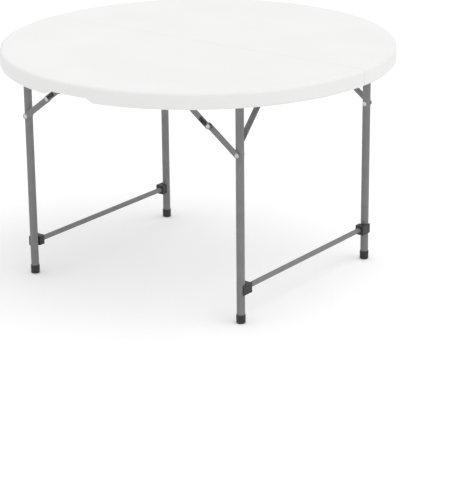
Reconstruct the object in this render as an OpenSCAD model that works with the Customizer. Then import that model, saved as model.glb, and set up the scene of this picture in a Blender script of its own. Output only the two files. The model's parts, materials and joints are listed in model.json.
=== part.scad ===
// Round folding table: a moulded two-part top on four folding tube legs.
// Millimetres, +Z up, origin on the floor under the centre of the top.
// The seam of the top runs along X, and the crossbars run along Y.

/* [Top] */
// Diameter of the round top
top_d = 1220; // [1160:10:1300]
// Height of the top face above the floor
table_h = 740; // [720:5:760]
// Height of the rim
rim_h = 50; // [50:1:60]
// Thickness of the panel inside the rim
panel_t = 21; // [16:1:21]
// Width of the rim wall
rim_w = 24; // [18:1:30]
// Rounding of the rim's upper edge
rim_round = 11; // [6:1:14]
// Rounding of the rim's lower edge
rim_low_round = 4; // [2:1:6]
// Width of the wall on each side of the seam
seam_w = 18; // [14:1:24]
// Gap between the two halves
seam_gap = 0.8; // [0.4:0.1:1.5]
// Height of the hand hold cut into the rim's lower edge
hold_h = 14; // [13:0.5:18]
// Width of the hand hold at the rim's lower edge
hold_w = 190; // [170:5:220]
// Width of the hand hold at its top
hold_top_w = 140; // [135:5:160]

/* [Legs] */
// Distance from the middle to the leg pivots along X
leg_x = 388; // [382:1:400]
// Distance from the seam to the two outer legs
leg_y_out = 360; // [356:1:370]
// Distance from the seam to the two inner legs
leg_y_in = 308; // [300:1:312]
// Diameter of a leg tube
leg_d = 25; // [22:0.5:26]
// Diameter of a pivot tube
pivot_d = 20; // [18:0.5:21]
// Length of a pivot tube on the seam side of its leg
pivot_reach = 216; // [210:1:230]
// Length of a pivot tube on the outer side of its leg
pivot_over = 18; // [16:1:24]
// Diameter of a foot cap
cap_d = 28; // [27.5:0.5:30]
// Height of a foot cap
cap_h = 27; // [20:1:35]
// Thickness of the floor of a foot cap
cap_floor = 3; // [2:0.5:5]
// Rounding of the lower edge of a foot cap
cap_round = 2.5; // [1:0.5:3]
// Height under the pivot where an inner leg's gusset strip starts
gusset_drop_in = 140; // [120:1:150]
// Height under the pivot where an outer leg's gusset strip starts
gusset_drop_out = 88; // [80:1:90]
// Rise of a gusset strip in degrees
gusset_rise = 47; // [44:1:50]
// Width of a gusset strip
gusset_w = 19; // [14:1:20]
// Thickness of a gusset strip
gusset_t = 3; // [2:0.5:4]

/* [Braces] */
// Distance from the leg pivot down to the brace rivet
brace_drop = 184.5; // [180:0.5:190]
// Distance from the leg pivot to the brace anchor under the top
brace_run = 248; // [244:1:252]
// Width of a brace link
link_w = 19; // [16:0.5:20]
// Thickness of a brace link
link_t = 3; // [2:0.5:3.5]
// Gap between plates that turn on each other
plate_gap = 0.5; // [0.4:0.1:0.8]
// Diameter of a rivet shank
rivet_d = 8; // [6:0.5:9]
// Diameter of a rivet head
head_d = 15; // [12:0.5:16]
// Height of a rivet head
head_h = 3.5; // [2.5:0.5:4]
// Length of the lock collar on a brace
lock_l = 26; // [20:1:34]
// Height of the lock collar on a brace
lock_w = 11; // [8:1:14]
// Thickness of the lock collar on a brace
lock_t = 4; // [3:0.5:5]

/* [Brackets] */
// Width of a pivot bracket along the tube
bracket_w = 16; // [12:1:20]
// Wall of a pivot bracket round the tube
bracket_wall = 3; // [2:0.5:3.5]
// Length of a bracket's flange beside the tube
flange_l = 18; // [14:1:20]
// Thickness of a flange
flange_t = 3; // [2:0.5:4]
// Distance from the leg to the nearer pivot bracket
bracket_near = 38; // [36:1:42]
// Distance from the leg to the farther pivot bracket
bracket_far = 198; // [190:1:204]
// Diameter of a screw head
screw_d = 9; // [7:0.5:10]
// Height of a screw head
screw_h = 2.5; // [2:0.5:4]

/* [Crossbars] */
// Height of a crossbar above the floor
bar_z = 105; // [95:1:120]
// Diameter of a crossbar
bar_d = 16; // [14:0.5:18]
// Height of a crossbar clip
clip_h = 30; // [26:1:34]
// Wall of a clip outside the leg
clip_wall = 4; // [3:0.5:6]
// Length of a clip past the leg
clip_l = 22; // [18:1:28]
// Depth of the bar's end in its clip
socket_l = 16; // [12:1:17]
// Length of a clip's lip round the leg
lip_l = 6; // [4:0.5:9]

/* [Carry handles] */
// Width of a carry handle
handle_w = 110; // [100:1:116]
// Length of a carry handle from its pins
handle_l = 85; // [78:1:90]
// Width of the handle's bow
handle_bow = 14; // [11:1:16]
// Thickness of a carry handle
handle_t = 9; // [7:0.5:9.5]
// Distance from the rim wall to the handle's pins
handle_in = 14; // [12:1:18]
// Diameter of a handle pin
handle_pin_d = 5; // [4:0.5:5.5]
// Thickness of a handle bracket's lug
lug_t = 6; // [4:0.5:8]
// Length of a handle bracket's lug
lug_l = 14; // [12:1:15]

/* [Seam hinges] */
// Distance from the middle to a seam hinge
hinge_x = 300; // [200:5:360]
// Length of a seam hinge
hinge_l = 66; // [50:1:80]
// Width of one hinge leaf
leaf_w = 15; // [12:0.5:17]
// Thickness of a hinge leaf
leaf_t = 2.5; // [2:0.5:3]
// Diameter of a hinge knuckle
knuckle_d = 8; // [7:0.5:9]
// Diameter of a hinge pin
hinge_pin_d = 4; // [3:0.5:4.5]

/* [Hidden] */
// Gap between pieces that are welded or pressed together
weld_gap = 0.05;
// Radial clearance of a pin or tube that turns in a bore
run_gap = 0.05;
// Gap between a clip and its leg
clip_gap = 0.3;
// Overrun of a cut past the piece that it cuts
over = 1;
// Facets of a large round, of a tube and of a small pin
fn_top = 180;
fn_tube = 48;
fn_pin = 32;

white = "#f2f2ef";
grey = "#7f7f80";
steel = "#bfc1c2";
black = "#26262a";

top_r = top_d / 2;
rim_z = table_h - rim_h;
under_z = table_h - panel_t;
leg_r = leg_d / 2;
pivot_r = pivot_d / 2;
// The folded leg lies between the panel and the rim's lower edge
pivot_z = (under_z + rim_z) / 2;
bar_r = bar_d / 2;
cap_r = cap_d / 2;
rivet_r = rivet_d / 2;

// Links of a brace: straight when the leg stands, folded flat with the leg
brace_open = norm([brace_drop, brace_run]);
brace_shut = brace_run - brace_drop;
link_low_l = (brace_open - brace_shut) / 2;
link_up_l = (brace_open + brace_shut) / 2;
brace_rise = atan(brace_drop / brace_run);
link_low_y = leg_r + plate_gap;
// The folded upper link passes over the head of the leg rivet
link_up_y = link_low_y + link_t + head_h + plate_gap;
brace_bracket_y = link_up_y + link_t + plate_gap;
brace_z = pivot_z - brace_drop;

handle_y = top_r - rim_w - handle_in;
handle_z = rim_z + hold_h / 2;
handle_eye_r = handle_t / 2 + weld_gap * 10;
hinge_z = rim_z - knuckle_d / 2;

// Each leg: its name, its side along X, its side along Y, its distance
// from the seam and the place where its gusset strip starts
LEGS = [
    ["front_left", -1, -1, leg_y_out, gusset_drop_out],
    ["front_right", 1, -1, leg_y_in, gusset_drop_in],
    ["back_left", -1, 1, leg_y_in, gusset_drop_in],
    ["back_right", 1, 1, leg_y_out, gusset_drop_out],
];

// A cylinder along Y from y = from to y = to
module rod_y(r, from, to, fn) {
    translate([0, to, 0]) rotate([90, 0, 0]) cylinder(r = r, h = to - from, $fn = fn);
}

// A cylinder along X, centred
module rod_x(r, length, fn) {
    rotate([0, 90, 0]) cylinder(r = r, h = length, center = true, $fn = fn);
}

// A flat bar with round ends from the origin to x = length, in the XZ plane,
// from y = 0 to y = thickness, with a hole at each end where its radius isn't 0
module link_bar(length, width, thickness, first_hole, second_hole) {
    translate([0, thickness, 0]) rotate([90, 0, 0]) linear_extrude(thickness) difference() {
        union() {
            translate([0, -width / 2]) square([length, width]);
            circle(d = width, $fn = fn_tube);
            translate([length, 0]) circle(d = width, $fn = fn_tube);
        }
        if (first_hole > 0) circle(r = first_hole, $fn = fn_pin);
        if (second_hole > 0) translate([length, 0]) circle(r = second_hole, $fn = fn_pin);
    }
}

// A domed rivet head on the plane y = 0 that stands out along +Y
module rivet_head(r, height) {
    crown_r = (r * r + height * height) / (2 * height);
    rotate([-90, 0, 0]) rotate_extrude($fn = fn_tube) intersection() {
        square([r, height]);
        translate([0, height - crown_r]) circle(r = crown_r, $fn = fn_top);
    }
}

// Puts its children in a leg's own axes: +X towards the middle of the
// table, +Y away from the seam, origin on the floor under the leg
module at_leg(leg) {
    translate([leg[1] * leg_x, leg[2] * leg[3], 0])
        mirror([leg[1] > 0 ? 1 : 0, 0, 0])
            mirror([0, leg[2] < 0 ? 1 : 0, 0])
                children();
}

// Turns its children about Z for the front or rear half: the half's own
// +Y points away from the seam
module at_half(side) {
    rotate([0, 0, side > 0 ? 0 : 180]) children();
}

// The legs whose half is on the given side
function legs_of(side) = [for (leg = LEGS) if (leg[2] == side) leg];

// One half of the top on its +Y side: rim, panel, seam wall, ribs, hand hold
module top_half_shape() {
    recess_r = top_r - rim_w;
    inner_y = seam_gap / 2 + seam_w;
    difference() {
        rotate_extrude($fn = fn_top) union() {
            translate([0, rim_z]) square([top_r - rim_round, rim_h]);
            translate([0, rim_z + rim_low_round]) square([top_r, rim_h - rim_low_round - rim_round]);
            translate([0, rim_z]) square([top_r - rim_low_round, rim_h - rim_round]);
            translate([top_r - rim_round, table_h - rim_round]) circle(r = rim_round, $fn = fn_tube);
            translate([top_r - rim_low_round, rim_z + rim_low_round]) circle(r = rim_low_round, $fn = fn_tube);
        }
        // The other half and the gap at the seam
        translate([-top_r - over, -top_r - over, rim_z - over])
            cube([top_d + 2 * over, top_r + over + seam_gap / 2, rim_h + 2 * over]);
        // The recess under the panel
        difference() {
            translate([0, 0, rim_z - over]) cylinder(r = recess_r, h = under_z - rim_z + over, $fn = fn_top);
            translate([-top_r, -top_r, rim_z - 2 * over]) cube([top_d, top_r + inner_y, rim_h]);
        }
        // The hand hold in the rim's lower edge
        translate([0, top_r + over, 0]) rotate([90, 0, 0]) linear_extrude(rim_w + 2 * over + rim_round)
            polygon([
                [-hold_w / 2, rim_z], [-hold_w / 2, rim_z - over],
                [hold_w / 2, rim_z - over], [hold_w / 2, rim_z],
                [hold_top_w / 2, rim_z + hold_h], [-hold_top_w / 2, rim_z + hold_h],
            ]);
    }
}

module top_half(side) {
    color(white) at_half(side) top_half_shape();
}

// A pivot bracket round the pivot tube, in the leg's own axes
module pivot_bracket() {
    half_w = pivot_r + bracket_wall;
    difference() {
        union() {
            translate([-half_w, -bracket_w / 2, pivot_z]) cube([2 * half_w, bracket_w, under_z - pivot_z]);
            translate([0, 0, pivot_z]) rod_y(half_w, -bracket_w / 2, bracket_w / 2, fn_tube);
            translate([-half_w - flange_l, -bracket_w / 2, under_z - flange_t])
                cube([2 * (half_w + flange_l), bracket_w, flange_t]);
        }
        translate([0, 0, pivot_z])
            rod_y(pivot_r + run_gap, -bracket_w / 2 - over, bracket_w / 2 + over, fn_tube);
    }
}

module pivot_brackets(side) {
    color(grey) for (leg = legs_of(side)) at_leg(leg) for (y = [bracket_near, bracket_far])
        translate([0, -y, 0]) pivot_bracket();
}

// The plate under the top that a brace hangs from, with its flange and pin
module brace_bracket() {
    plate_low = pivot_z - link_w / 2;
    translate([brace_run - link_w / 2, brace_bracket_y, plate_low])
        cube([link_w, link_t, under_z - plate_low]);
    translate([brace_run - link_w / 2, brace_bracket_y, under_z - flange_t])
        cube([link_w, link_t + flange_l, flange_t]);
    translate([brace_run, 0, pivot_z]) {
        rod_y(rivet_r, link_up_y - link_t, brace_bracket_y + link_t / 2, fn_pin);
        rod_y(head_d / 2, link_up_y - link_t, link_up_y - plate_gap, fn_pin);
    }
}

module brace_brackets(side) {
    color(steel) for (leg = legs_of(side)) at_leg(leg) brace_bracket();
}

// A screw head under a flange
module screw_head() {
    translate([0, 0, under_z - flange_t - screw_h]) cylinder(d = screw_d, h = screw_h, $fn = fn_pin);
}

module bracket_screws(side) {
    flange_mid = pivot_r + bracket_wall + flange_l / 2;
    color(steel) for (leg = legs_of(side)) at_leg(leg) {
        for (y = [bracket_near, bracket_far], x = [-flange_mid, flange_mid]) translate([x, -y, 0]) screw_head();
        translate([brace_run, brace_bracket_y + link_t + flange_l / 2, 0]) screw_head();
    }
}

module leg_tube(leg) {
    color(grey) at_leg(leg) difference() {
        translate([0, 0, cap_floor]) cylinder(d = leg_d, h = pivot_z - cap_floor, $fn = fn_tube);
        translate([0, 0, pivot_z]) rod_y(pivot_r + weld_gap, -leg_d, leg_d, fn_tube);
        translate([0, 0, brace_z]) rod_y(rivet_r + weld_gap, -leg_d, leg_d, fn_pin);
    }
}

module pivot_tube(leg) {
    color(grey) at_leg(leg) translate([0, 0, pivot_z]) rod_y(pivot_r, -pivot_reach, pivot_over, fn_tube);
}

// The strip that braces a leg tube against its pivot tube
module gusset(leg) {
    drop = leg[4];
    strip_l = drop / sin(gusset_rise);
    color(grey) at_leg(leg) difference() {
        translate([0, -leg_r, pivot_z - drop]) rotate([180 - gusset_rise, 0, 0])
            translate([-gusset_w / 2, -leg_r / 2, -gusset_t / 2]) cube([gusset_w, strip_l + leg_r / 2, gusset_t]);
        translate([0, 0, cap_floor]) cylinder(r = leg_r + weld_gap, h = pivot_z, $fn = fn_tube);
        translate([0, 0, pivot_z]) rod_y(pivot_r + weld_gap, -pivot_reach - over, pivot_over + over, fn_tube);
    }
}

module foot_cap(leg) {
    color(black) at_leg(leg) difference() {
        rotate_extrude($fn = fn_tube) union() {
            square([cap_r - cap_round, cap_h]);
            translate([0, cap_round]) square([cap_r, cap_h - cap_round]);
            translate([cap_r - cap_round, cap_round]) circle(r = cap_round, $fn = fn_pin);
        }
        translate([0, 0, cap_floor]) cylinder(r = leg_r + weld_gap, h = cap_h, $fn = fn_tube);
    }
}

module leg_rivet(leg) {
    head_y = link_low_y + link_t + plate_gap / 4;
    color(steel) at_leg(leg) translate([0, 0, brace_z]) {
        rod_y(rivet_r, -leg_r, head_y, fn_pin);
        translate([0, head_y, 0]) rivet_head(head_d / 2, head_h);
        translate([0, -leg_r, 0]) mirror([0, 1, 0]) rivet_head(head_d / 2, head_h);
    }
}

// The lower link, from the leg rivet up to the middle of the brace
module lower_link(leg) {
    color(grey) at_leg(leg) translate([0, link_low_y, brace_z]) rotate([0, -brace_rise, 0])
        link_bar(link_low_l, link_w, link_t, rivet_r + run_gap, 0);
}

// Puts its children in the upper link's own axes: origin at the anchor
// under the top, +X down along the link
module at_upper_link(leg) {
    at_leg(leg) translate([brace_run, link_up_y, pivot_z]) rotate([0, 180 - brace_rise, 0]) children();
}

module upper_link(leg) {
    color(grey) at_upper_link(leg)
        link_bar(link_up_l, link_w, link_t, rivet_r + run_gap, rivet_r + weld_gap);
}

// The rivet at the middle of a brace, with its spacer between the two links
module middle_rivet(leg) {
    color(steel) at_upper_link(leg) translate([link_up_l, 0, 0]) {
        rod_y(rivet_r, 0, link_t, fn_pin);
        rod_y((rivet_r + head_d / 2) / 2, -head_h, 0, fn_pin);
        translate([0, link_t, 0]) rivet_head(head_d / 2, head_h);
    }
}

// The dark collar that locks the two links in line
module brace_lock(leg) {
    color(black) at_upper_link(leg)
        translate([link_up_l - head_d / 2 - lock_l - plate_gap, link_t, -lock_w / 2]) difference() {
            cube([lock_l, lock_t, lock_w]);
            translate([lock_l / 3, lock_t / 2, lock_w / 3]) cube([lock_l / 3, lock_t, lock_w / 3]);
        }
}

// The rear end of the right bar and the front end of the left bar sit on
// outer legs. The left bar turned half a turn about Z is the right bar.
module at_bar(side) {
    rotate([0, 0, side < 0 ? 0 : 180]) translate([-leg_x, 0, bar_z]) children();
}

module crossbar(side) {
    end_gap = leg_r + clip_l - socket_l + weld_gap;
    color(grey) at_bar(side) rod_y(bar_r, -leg_y_out + end_gap, leg_y_in - end_gap, fn_tube);
}

// A clip with its leg at the origin and its bar towards +Y. It is open
// towards +X, so that it comes off the leg along -X.
module clip() {
    low_x = -leg_r - clip_wall;
    high_x = bar_r + clip_wall;
    difference() {
        translate([low_x, -lip_l, -clip_h / 2]) cube([high_x - low_x, lip_l + leg_r + clip_l, clip_h]);
        translate([-leg_r - clip_gap, -leg_d, -clip_h])
            cube([2 * leg_d, leg_d + leg_r + clip_gap, 2 * clip_h]);
        rod_y(bar_r + weld_gap, leg_r + clip_l - socket_l, leg_r + clip_l + over, fn_tube);
    }
}

module crossbar_clips(side) {
    color(black) at_bar(side) {
        translate([0, -leg_y_out, 0]) clip();
        translate([0, leg_y_in, 0]) mirror([0, 1, 0]) clip();
    }
}

// Outline of a bow with round corners: width, length and corner radius
module bow_outline(width, length, corner_r) {
    translate([-width / 2, 0]) square([width, length - corner_r]);
    translate([-width / 2 + corner_r, 0]) square([width - 2 * corner_r, length]);
    for (side = [-1, 1]) translate([side * (width / 2 - corner_r), length - corner_r])
        circle(r = corner_r, $fn = fn_tube);
}

// A carry handle, stowed towards the seam, in its half's own axes
module carry_handle(side) {
    eye_x = handle_w / 2 - handle_bow / 2;
    color(black) at_half(side) translate([0, handle_y, handle_z]) mirror([0, 1, 0]) difference() {
        union() {
            translate([0, 0, -handle_t / 2]) linear_extrude(handle_t) difference() {
                bow_outline(handle_w, handle_l, handle_w / 4);
                translate([0, -over]) bow_outline(handle_w - 2 * handle_bow, handle_l - handle_bow + over,
                    handle_w / 4 - handle_bow / 2);
            }
            for (x = [-eye_x, eye_x]) translate([x, 0, 0]) rod_x(handle_eye_r, handle_bow, fn_tube);
        }
        rod_x(handle_pin_d / 2 + run_gap, handle_w + 2 * over, fn_pin);
    }
}

// The bearing bracket of a handle, screwed under the panel
module handle_bracket(side) {
    lug_x = handle_w / 2 + plate_gap;
    lug_low = handle_z - lug_l / 2 + plate_gap;
    color(black) at_half(side) translate([0, handle_y, 0]) difference() {
        union() {
            for (x = [-lug_x - lug_t, lug_x]) translate([x, -lug_l / 2, lug_low])
                cube([lug_t, lug_l, under_z - lug_low]);
            translate([-lug_x - lug_t, -lug_l / 2, under_z - flange_t])
                cube([2 * (lug_x + lug_t), lug_l, flange_t]);
        }
        translate([0, 0, handle_z]) rod_x(handle_pin_d / 2 + weld_gap, handle_w + 4 * lug_t, fn_pin);
    }
}

module handle_pins(side) {
    pin_l = handle_bow + plate_gap + lug_t;
    mid_x = handle_w / 2 - handle_bow + pin_l / 2;
    color(steel) at_half(side) for (x = [-mid_x, mid_x]) translate([x, handle_y, handle_z])
        rod_x(handle_pin_d / 2, pin_l, fn_pin);
}

// The leaves of the seam hinges on one half: the front leaves carry the two
// outer knuckles of each hinge and the rear leaves the middle one
module hinge_leaves(side) {
    knuckle_l = hinge_l / 3;
    knuckle_x = side < 0 ? [-knuckle_l, knuckle_l] : [0];
    color(steel) for (x = [-hinge_x, hinge_x]) translate([x, 0, 0]) at_half(side) difference() {
        union() {
            translate([-hinge_l / 2, knuckle_d / 2 + plate_gap, rim_z - leaf_t])
                cube([hinge_l, leaf_w - knuckle_d / 2, leaf_t]);
            for (kx = knuckle_x) {
                translate([kx, 0, hinge_z]) rod_x(knuckle_d / 2, knuckle_l - plate_gap, fn_pin);
                translate([kx - (knuckle_l - plate_gap) / 2, 0, rim_z - leaf_t])
                    cube([knuckle_l - plate_gap, knuckle_d, leaf_t]);
            }
        }
        translate([0, 0, hinge_z]) rod_x(hinge_pin_d / 2 + run_gap, hinge_l + over, fn_pin);
    }
}

module hinge_pins() {
    color(steel) for (x = [-hinge_x, hinge_x]) translate([x, 0, hinge_z])
        rod_x(hinge_pin_d / 2, hinge_l, fn_pin);
}

top_half(-1);  // top_half_front
top_half(1);  // top_half_rear
pivot_brackets(-1);  // pivot_brackets_front
pivot_brackets(1);  // pivot_brackets_rear
brace_brackets(-1);  // brace_brackets_front
brace_brackets(1);  // brace_brackets_rear
bracket_screws(-1);  // bracket_screws_front
bracket_screws(1);  // bracket_screws_rear
for (leg = LEGS) {
    leg_tube(leg);
    pivot_tube(leg);
    gusset(leg);
    foot_cap(leg);
    leg_rivet(leg);
    lower_link(leg);
    upper_link(leg);
    middle_rivet(leg);
    brace_lock(leg);
}
crossbar(-1);  // crossbar_left
crossbar(1);  // crossbar_right
crossbar_clips(-1);  // crossbar_clips_left
crossbar_clips(1);  // crossbar_clips_right
carry_handle(-1);  // carry_handle_front
carry_handle(1);  // carry_handle_rear
handle_bracket(-1);  // handle_bracket_front
handle_bracket(1);  // handle_bracket_rear
handle_pins(-1);  // handle_pins_front
handle_pins(1);  // handle_pins_rear
hinge_leaves(-1);  // hinge_leaves_front
hinge_leaves(1);  // hinge_leaves_rear
hinge_pins();
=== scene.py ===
"""Looks of a round folding table: white moulded top, grey powder-coated tube legs."""
import json
import math

import bpy
from mathutils import Matrix, Vector, noise


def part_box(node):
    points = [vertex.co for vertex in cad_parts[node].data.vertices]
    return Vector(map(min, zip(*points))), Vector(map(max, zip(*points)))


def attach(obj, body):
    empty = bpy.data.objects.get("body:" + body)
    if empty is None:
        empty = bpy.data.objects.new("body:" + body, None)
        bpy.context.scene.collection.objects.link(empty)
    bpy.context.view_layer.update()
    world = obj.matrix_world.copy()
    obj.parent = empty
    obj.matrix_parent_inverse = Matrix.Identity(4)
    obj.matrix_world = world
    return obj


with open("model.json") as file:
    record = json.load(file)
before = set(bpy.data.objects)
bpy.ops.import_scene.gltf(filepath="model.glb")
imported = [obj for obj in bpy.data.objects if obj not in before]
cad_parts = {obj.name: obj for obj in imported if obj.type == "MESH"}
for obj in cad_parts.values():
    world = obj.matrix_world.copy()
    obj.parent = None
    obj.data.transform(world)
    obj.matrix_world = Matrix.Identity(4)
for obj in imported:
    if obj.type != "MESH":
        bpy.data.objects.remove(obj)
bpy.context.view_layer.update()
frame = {"nodes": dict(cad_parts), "record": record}

CORNERS = ("front_left", "front_right", "back_left", "back_right")
X, Z = 0, 2
EVEN = (1, 1, 1)
WHITE = (1, 1, 1, 1)

# The photograph's frame in pixels, and the width of the camera's sensor
# in millimetres
FRAME_PX = (476, 480)
LONG_SIDE_PX = max(FRAME_PX)
SENSOR = 36.0

# The fitted camera: focal length and principal point in the photograph's
# pixels, pitch, roll and azimuth in degrees, distance and height in metres
FOCAL_PX = 1799.4
CENTRE_PX = (199.7, 168.0)
PITCH, ROLL, AZIMUTH = 17.758, -0.765, 38.037
DISTANCE, HEIGHT = 5.4071, 2.0588

# Each sun: name, strength, angle of its disc, tilt and turn in degrees
SUNS = (("key", 0.75, 60, 30, 110), ("fill", 0.3, 90, 20, -60))
WORLD_STRENGTH = 0.72

# Half the floor's side, and how far it lies under the feet, in metres
FLOOR_REACH = 30.0
FLOOR_DROP = 0.0005
# What the camera sees added to the floor, so that it shows as nearly white
FLOOR_LIFT = 0.115

# Detail of the noise behind each kind of variation
TINT_DETAIL, ROUGHNESS_DETAIL, BUMP_DETAIL = 5, 3, 4
# Where along a tint's noise the dark colour ends and the light one begins
DARK_END, LIGHT_START = 0.3, 0.7

# Weld beads: the radius in metres, the share of it that a bead has in the
# middle of its ripples and the share they add or take, their noise scale,
# and the sides of a bead
BEAD_R = 0.0016
BEAD_SHARE, RIPPLE_SHARE = 0.85, 0.35
RIPPLE_SCALE = 400
BEAD_SIDES = 10
# A leg's beads: their share of the pivot tube's radius, and their steps
LEG_BEAD_SHARE, LEG_BEAD_STEPS = 0.85, 24
# A gusset's bead: its share of the strip's width, its steps, and its height
# above the bottom of the strip, in metres
GUSSET_BEAD_SHARE, GUSSET_BEAD_STEPS = 0.9, 20
GUSSET_BEAD_RISE = 0.0035

# The rings round a foot cap: how many, their radius in metres, the share of
# it by which their middle line lies in the cap, and their steps and sides
RINGS = 3
RING_R = 0.0005
RING_SUNK_SHARE = 1 / 4
RING_STEPS, RING_SIDES = 64, 8


def add_object(name, data):
    """Makes an object and puts it in the scene."""
    made = bpy.data.objects.new(name, data)
    bpy.context.scene.collection.objects.link(made)
    return made


def make_camera():
    """Places the camera at the photograph's viewpoint."""
    az, pitch, roll = (math.radians(v) for v in (AZIMUTH, PITCH, ROLL))
    ahead = Vector((-math.sin(az), math.cos(az), 0))
    right = Vector((math.cos(az), math.sin(az), 0))
    above = Vector((0, 0, 1))
    forward = ahead * math.cos(pitch) - above * math.sin(pitch)
    up = ahead * math.sin(pitch) + above * math.cos(pitch)
    turned_right = right * math.cos(roll) + up * math.sin(roll)
    turned_up = up * math.cos(roll) - right * math.sin(roll)
    camera = add_object("camera", bpy.data.cameras.new("camera"))
    turn = Matrix((turned_right, turned_up, -forward)).transposed().to_4x4()
    place = Vector((DISTANCE * math.sin(az), -DISTANCE * math.cos(az), HEIGHT))
    camera.matrix_world = Matrix.Translation(place) @ turn
    camera.data.sensor_width = SENSOR
    camera.data.sensor_fit = "AUTO"
    camera.data.lens = FOCAL_PX * SENSOR / LONG_SIDE_PX
    camera.data.shift_x = (FRAME_PX[0] / 2 - CENTRE_PX[0]) / LONG_SIDE_PX
    camera.data.shift_y = (CENTRE_PX[1] - FRAME_PX[1] / 2) / LONG_SIDE_PX
    bpy.context.scene.camera = camera


def new_material(name):
    """Returns a material, its node tree and its shader."""
    material = bpy.data.materials.new(name)
    material.use_nodes = True
    tree = material.node_tree
    return material, tree, tree.nodes["Principled BSDF"]


def add_noise(tree, scale, detail, stretch=EVEN):
    """A noise texture on the object's own coordinates, in metres."""
    place = tree.nodes.new("ShaderNodeTexCoord")
    mapping = tree.nodes.new("ShaderNodeMapping")
    mapping.inputs["Scale"].default_value = stretch
    texture = tree.nodes.new("ShaderNodeTexNoise")
    texture.inputs["Scale"].default_value = scale
    texture.inputs["Detail"].default_value = detail
    tree.links.new(place.outputs["Object"], mapping.inputs["Vector"])
    tree.links.new(mapping.outputs["Vector"], texture.inputs["Vector"])
    return texture


def add_tint(tree, shader, dark, light, scale):
    """Drives the base colour between two colours by a noise."""
    texture = add_noise(tree, scale, TINT_DETAIL)
    ramp = tree.nodes.new("ShaderNodeValToRGB")
    ramp.color_ramp.elements[0].position = DARK_END
    ramp.color_ramp.elements[1].position = LIGHT_START
    ramp.color_ramp.elements[0].color = (*dark, 1)
    ramp.color_ramp.elements[1].color = (*light, 1)
    tree.links.new(texture.outputs["Fac"], ramp.inputs["Fac"])
    tree.links.new(ramp.outputs["Color"], shader.inputs["Base Color"])


def add_roughness(tree, shader, low, high, scale):
    """Drives the roughness between two values by a noise."""
    texture = add_noise(tree, scale, ROUGHNESS_DETAIL)
    spread = tree.nodes.new("ShaderNodeMapRange")
    spread.inputs["To Min"].default_value = low
    spread.inputs["To Max"].default_value = high
    tree.links.new(texture.outputs["Fac"], spread.inputs["Value"])
    tree.links.new(spread.outputs["Result"], shader.inputs["Roughness"])


def add_bump(tree, shader, scale, strength, height, stretch=EVEN):
    """Adds a bump over those that the shader has, its height in metres."""
    bump = tree.nodes.new("ShaderNodeBump")
    bump.inputs["Strength"].default_value = strength
    bump.inputs["Distance"].default_value = height
    texture = add_noise(tree, scale, BUMP_DETAIL, stretch)
    tree.links.new(texture.outputs["Fac"], bump.inputs["Height"])
    normal = shader.inputs["Normal"]
    if normal.is_linked:
        tree.links.new(normal.links[0].from_socket, bump.inputs["Normal"])
    tree.links.new(bump.outputs["Normal"], normal)


def top_plastic():
    """White polyethylene with a fine pebble grain."""
    material, tree, shader = new_material("top_plastic")
    add_tint(tree, shader, dark=(0.868, 0.868, 0.862), light=(0.892, 0.892, 0.888), scale=5)
    add_roughness(tree, shader, low=0.42, high=0.56, scale=40)
    add_bump(tree, shader, scale=14, strength=0.05, height=0.001)
    add_bump(tree, shader, scale=520, strength=0.16, height=0.0003)
    shader.inputs["Specular IOR Level"].default_value = 0.4
    return material


def grey_paint():
    """Grey powder coat with its orange peel."""
    material, tree, shader = new_material("grey_paint")
    add_tint(tree, shader, dark=(0.2, 0.2, 0.204), light=(0.222, 0.222, 0.226), scale=30)
    add_roughness(tree, shader, low=0.36, high=0.5, scale=90)
    add_bump(tree, shader, scale=700, strength=0.25, height=0.0003)
    add_bump(tree, shader, scale=160, strength=0.1, height=0.0005)
    shader.inputs["Metallic"].default_value = 0.25
    return material


def plated_steel():
    """Zinc plate with fine level lines."""
    material, tree, shader = new_material("plated_steel")
    add_tint(tree, shader, dark=(0.5, 0.51, 0.53), light=(0.68, 0.68, 0.68), scale=60)
    add_roughness(tree, shader, low=0.24, high=0.42, scale=240)
    add_bump(tree, shader, scale=600, strength=0.2, height=0.0002, stretch=(1, 1, 8))
    shader.inputs["Metallic"].default_value = 0.9
    return material


def black_plastic():
    """Black moulded polypropylene with a fine spark grain."""
    material, tree, shader = new_material("black_plastic")
    add_tint(tree, shader, dark=(0.022, 0.022, 0.024), light=(0.034, 0.034, 0.036), scale=50)
    add_roughness(tree, shader, low=0.45, high=0.62, scale=120)
    add_bump(tree, shader, scale=900, strength=0.3, height=0.0003)
    return material


def weld_metal():
    """A painted weld bead, a shade darker and rougher than the tube."""
    material, tree, shader = new_material("weld_metal")
    add_tint(tree, shader, dark=(0.15, 0.15, 0.155), light=(0.21, 0.21, 0.215), scale=200)
    add_roughness(tree, shader, low=0.45, high=0.6, scale=200)
    add_bump(tree, shader, scale=900, strength=0.5, height=0.0005)
    shader.inputs["Metallic"].default_value = 0.25
    return material


MATERIALS = {
    "top_plastic": top_plastic(),
    "grey_paint": grey_paint(),
    "plated_steel": plated_steel(),
    "black_plastic": black_plastic(),
}
WELD = weld_metal()


def dress_cad_nodes():
    """Gives each CAD node the procedural material of its slot."""
    slot_of = {row["node"]: row["material_slot"] for row in frame["record"]["subparts"]}
    for name, piece in frame["nodes"].items():
        for slot in piece.material_slots:
            slot.material = MATERIALS[slot_of[name]]


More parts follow.
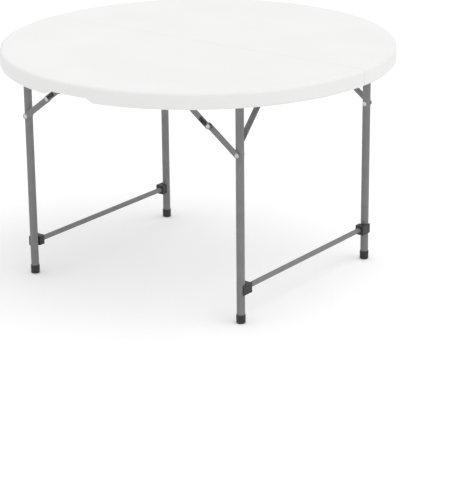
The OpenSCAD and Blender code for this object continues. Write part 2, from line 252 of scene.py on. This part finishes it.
def swept_tube(name, path, radii, closed, sides):
    """A mesh tube along a path, with one radius at each point of it."""
    count = len(path)
    verts, faces = [], []
    for i, point in enumerate(path):
        after = path[(i + 1) % count] if closed or i + 1 < count else path[i]
        before = path[i - 1] if closed or i > 0 else path[i]
        along = (after - before).normalized()
        side = along.orthogonal() if i == 0 else (side - along * side.dot(along))
        side.normalize()
        other = along.cross(side)
        for k in range(sides):
            turn = 2 * math.pi * k / sides
            verts.append(point + (side * math.cos(turn) + other * math.sin(turn)) * radii[i])
    for i in range(count if closed else count - 1):
        here, there = i * sides, (i + 1) % count * sides
        for k in range(sides):
            beside = (k + 1) % sides
            faces.append((here + k, here + beside, there + beside, there + k))
    if not closed:
        faces.append(tuple(reversed(range(sides))))
        faces.append(tuple(range((count - 1) * sides, count * sides)))
    mesh = bpy.data.meshes.new(name)
    mesh.from_pydata([tuple(v) for v in verts], [], faces)
    mesh.polygons.foreach_set("use_smooth", [True] * len(mesh.polygons))
    return add_object(name, mesh)


def finish_piece(piece, material, body):
    """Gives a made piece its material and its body."""
    piece.data.materials.append(material)
    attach(piece, body)


def box(node):
    """A node's lowest and highest corners, as vectors."""
    low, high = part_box(node)
    return Vector(low), Vector(high)


def middle(node):
    """The middle of a node's box."""
    low, high = box(node)
    return (low + high) / 2


def half_width(node, axis):
    """Half of what a node's box measures along an axis."""
    low, high = box(node)
    return (high[axis] - low[axis]) / 2


def steps_across(reach, steps):
    """Evenly spaced places from -reach to reach."""
    return [reach * (2 * i / steps - 1) for i in range(steps + 1)]


def wall_at(radius, x):
    """How far from a tube's middle its wall stands at x to one side."""
    return math.sqrt(radius ** 2 - x ** 2)


def weld_bead(name, path, body):
    """A lumpy bead along a path: the lumps are the ripples of the weld."""
    radii = [BEAD_R * (BEAD_SHARE + RIPPLE_SHARE * noise.noise(p * RIPPLE_SCALE)) for p in path]
    bead = swept_tube(name, path, radii, False, BEAD_SIDES)
    finish_piece(bead, WELD, body)


def leg_welds(corner):
    """The beads where a leg tube is coped to its pivot tube."""
    leg_r = half_width("leg_tube_" + corner, X)
    pivot_r = half_width("pivot_tube_" + corner, Z)
    centre = middle("leg_tube_" + corner)
    centre.z = middle("pivot_tube_" + corner).z
    for label, side in (("near", -1), ("far", 1)):
        path = []
        for x in steps_across(LEG_BEAD_SHARE * pivot_r, LEG_BEAD_STEPS):
            path.append(centre + Vector((x, side * wall_at(leg_r, x), -wall_at(pivot_r, x))))
        weld_bead("weld_" + label + "_" + corner, path, "leg_" + corner)


def gusset_weld(corner):
    """The bead where a gusset strip meets its leg tube."""
    leg = middle("leg_tube_" + corner)
    leg_r = half_width("leg_tube_" + corner, X)
    low, high = box("gusset_" + corner)
    side = 1 if (low.y + high.y) / 2 > leg.y else -1
    half_w = GUSSET_BEAD_SHARE * half_width("gusset_" + corner, X)
    path = []
    for x in steps_across(half_w, GUSSET_BEAD_STEPS):
        path.append(Vector((leg.x + x, leg.y + side * wall_at(leg_r, x), low.z + GUSSET_BEAD_RISE)))
    weld_bead("weld_gusset_" + corner, path, "leg_" + corner)


def cap_rings(corner):
    """The moulded rings round the upper half of a foot cap."""
    low, high = box("foot_cap_" + corner)
    centre = middle("foot_cap_" + corner)
    radius = half_width("foot_cap_" + corner, X) - RING_SUNK_SHARE * RING_R
    for ring in range(1, RINGS + 1):
        z = high.z - ring * (high.z - low.z) / (2 * RINGS)
        path = []
        for i in range(RING_STEPS):
            turn = 2 * math.pi * i / RING_STEPS
            x = centre.x + radius * math.cos(turn)
            y = centre.y + radius * math.sin(turn)
            path.append(Vector((x, y, z)))
        name = "cap_ring_" + str(ring) + "_" + corner
        piece = swept_tube(name, path, [RING_R] * RING_STEPS, True, RING_SIDES)
        finish_piece(piece, MATERIALS["black_plastic"], "leg_" + corner)


def make_stage():
    """A wide pale floor, which the camera sees as nearly white."""
    far = FLOOR_REACH
    mesh = bpy.data.meshes.new("floor")
    corners = [(-far, -far, 0), (far, -far, 0), (far, far, 0), (-far, far, 0)]
    mesh.from_pydata(corners, [], [(0, 1, 2, 3)])
    floor = add_object("floor", mesh)
    floor.location.z = -FLOOR_DROP
    material, tree, shader = new_material("floor_white")
    shader.inputs["Base Color"].default_value = (0.97, 0.97, 0.97, 1)
    shader.inputs["Roughness"].default_value = 0.9
    shader.inputs["Specular IOR Level"].default_value = 0.1
    shader.inputs["Emission Color"].default_value = WHITE
    rays = tree.nodes.new("ShaderNodeLightPath")
    lift = tree.nodes.new("ShaderNodeMath")
    lift.operation = "MULTIPLY"
    lift.inputs[1].default_value = FLOOR_LIFT
    tree.links.new(rays.outputs["Is Camera Ray"], lift.inputs[0])
    tree.links.new(lift.outputs["Value"], shader.inputs["Emission Strength"])
    # The floor is clear from below, so that the underside can be seen
    face = tree.nodes.new("ShaderNodeNewGeometry")
    clear = tree.nodes.new("ShaderNodeBsdfTransparent")
    mix = tree.nodes.new("ShaderNodeMixShader")
    tree.links.new(face.outputs["Backfacing"], mix.inputs["Fac"])
    tree.links.new(shader.outputs["BSDF"], mix.inputs[1])
    tree.links.new(clear.outputs["BSDF"], mix.inputs[2])
    tree.links.new(mix.outputs["Shader"], tree.nodes["Material Output"].inputs["Surface"])
    mesh.materials.append(material)


def make_light():
    """An even surround, which the camera and reflections see as white, and two broad suns."""
    world = bpy.data.worlds.new("studio")
    bpy.context.scene.world = world
    world.use_nodes = True
    tree = world.node_tree
    shade = tree.nodes["Background"]
    shade.inputs["Color"].default_value = WHITE
    shade.inputs["Strength"].default_value = WORLD_STRENGTH
    shown = tree.nodes.new("ShaderNodeBackground")
    shown.inputs["Color"].default_value = WHITE
    shown.inputs["Strength"].default_value = 1.0
    rays = tree.nodes.new("ShaderNodeLightPath")
    mix = tree.nodes.new("ShaderNodeMixShader")
    either = tree.nodes.new("ShaderNodeMath")
    either.operation = "MAXIMUM"
    tree.links.new(rays.outputs["Is Camera Ray"], either.inputs[0])
    tree.links.new(rays.outputs["Is Glossy Ray"], either.inputs[1])
    tree.links.new(either.outputs["Value"], mix.inputs["Fac"])
    tree.links.new(shade.outputs["Background"], mix.inputs[1])
    tree.links.new(shown.outputs["Background"], mix.inputs[2])
    tree.links.new(mix.outputs["Shader"], tree.nodes["World Output"].inputs["Surface"])
    for name, strength, angle, tilt, turn in SUNS:
        lamp = bpy.data.lights.new(name, "SUN")
        lamp.energy = strength
        lamp.angle = math.radians(angle)
        sun = add_object(name, lamp)
        sun.rotation_euler = (math.radians(tilt), 0, math.radians(turn))


make_camera()
make_light()
make_stage()
dress_cad_nodes()
for corner in CORNERS:
    leg_welds(corner)
    gusset_weld(corner)
    cap_rings(corner)

bpy.context.scene.view_settings.view_transform = "Standard"
